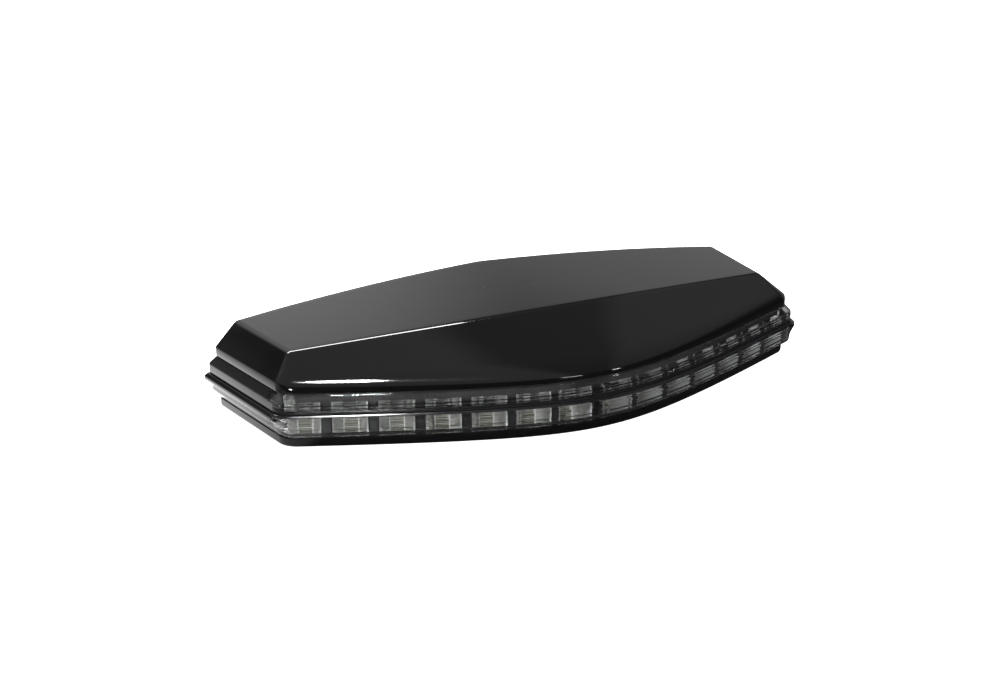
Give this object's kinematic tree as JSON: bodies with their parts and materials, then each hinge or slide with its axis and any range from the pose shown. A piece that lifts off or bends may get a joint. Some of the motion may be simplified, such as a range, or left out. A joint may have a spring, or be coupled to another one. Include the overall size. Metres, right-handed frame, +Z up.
{
  "type": "motorcycle tail light",
  "caption": "Flat faceted motorcycle tail light: glossy black cap, stepped smoked lens band lit round its rounded nose, and a black base that bolts down flat.",
  "frame": {"origin": "middle of the bounding box, on the flat mounting face at the bottom of the base", "axes": "+X along the length, -Y towards the lit nose, +Z up from the mounting face to the crowned top"},
  "size_m": [0.1498, 0.0699, 0.0224],
  "materials": {
    "cap_gloss_black": "glossy moulded ABS, faint flow marks",
    "smoked_lens": "clear smoked polycarbonate, polished",
    "seal_rubber": "matte rubber",
    "base_black": "fine spark-eroded texture",
    "mask_black": "satin black",
    "reflector_silver": "vacuum-metallised, ridged",
    "clear_optic": "clear acrylic",
    "flex_board": "solder-masked board",
    "bracket_aluminium": "bare folded sheet",
    "screw_steel": "zinc plated",
    "led_package": "white package, pale yellow phosphor",
    "board_green": "solder-masked board",
    "chip_black": "moulded epoxy",
    "can_aluminium": "satin can",
    "connector_ivory": "nylon",
    "ribbon_amber": "polyimide film",
    "terminal_green": "nylon",
    "insert_brass": "turned and knurled"
  },
  "bodies": {
    "root": {"top_cap": "cap_gloss_black", "cap_seal": "seal_rubber", "upper_lens": "smoked_lens", "seam_gasket": "seal_rubber", "lower_lens": "smoked_lens", "base_gasket": "seal_rubber", "base_plate": "base_black", "light_mask": "mask_black", "reflector_upper": "reflector_silver", "reflector_lower": "reflector_silver", "tail_optics": "clear_optic", "led_flex_board": "flex_board", "led_bracket": "bracket_aluminium", "bracket_screws": "screw_steel", "tail_leds": "led_package", "brake_leds": "led_package", "main_board": "board_green", "driver_chip": "chip_black", "resistors": "chip_black", "capacitors": "can_aluminium", "rectifier_diodes": "chip_black", "ribbon_connector": "connector_ivory", "ribbon_cable": "ribbon_amber", "wire_terminal": "terminal_green", "board_screws": "screw_steel", "housing_screws": "screw_steel", "threaded_inserts": "insert_brass", "cable_grommet": "seal_rubber", "breather_vent": "base_black"}
  },
  "joints": []
}
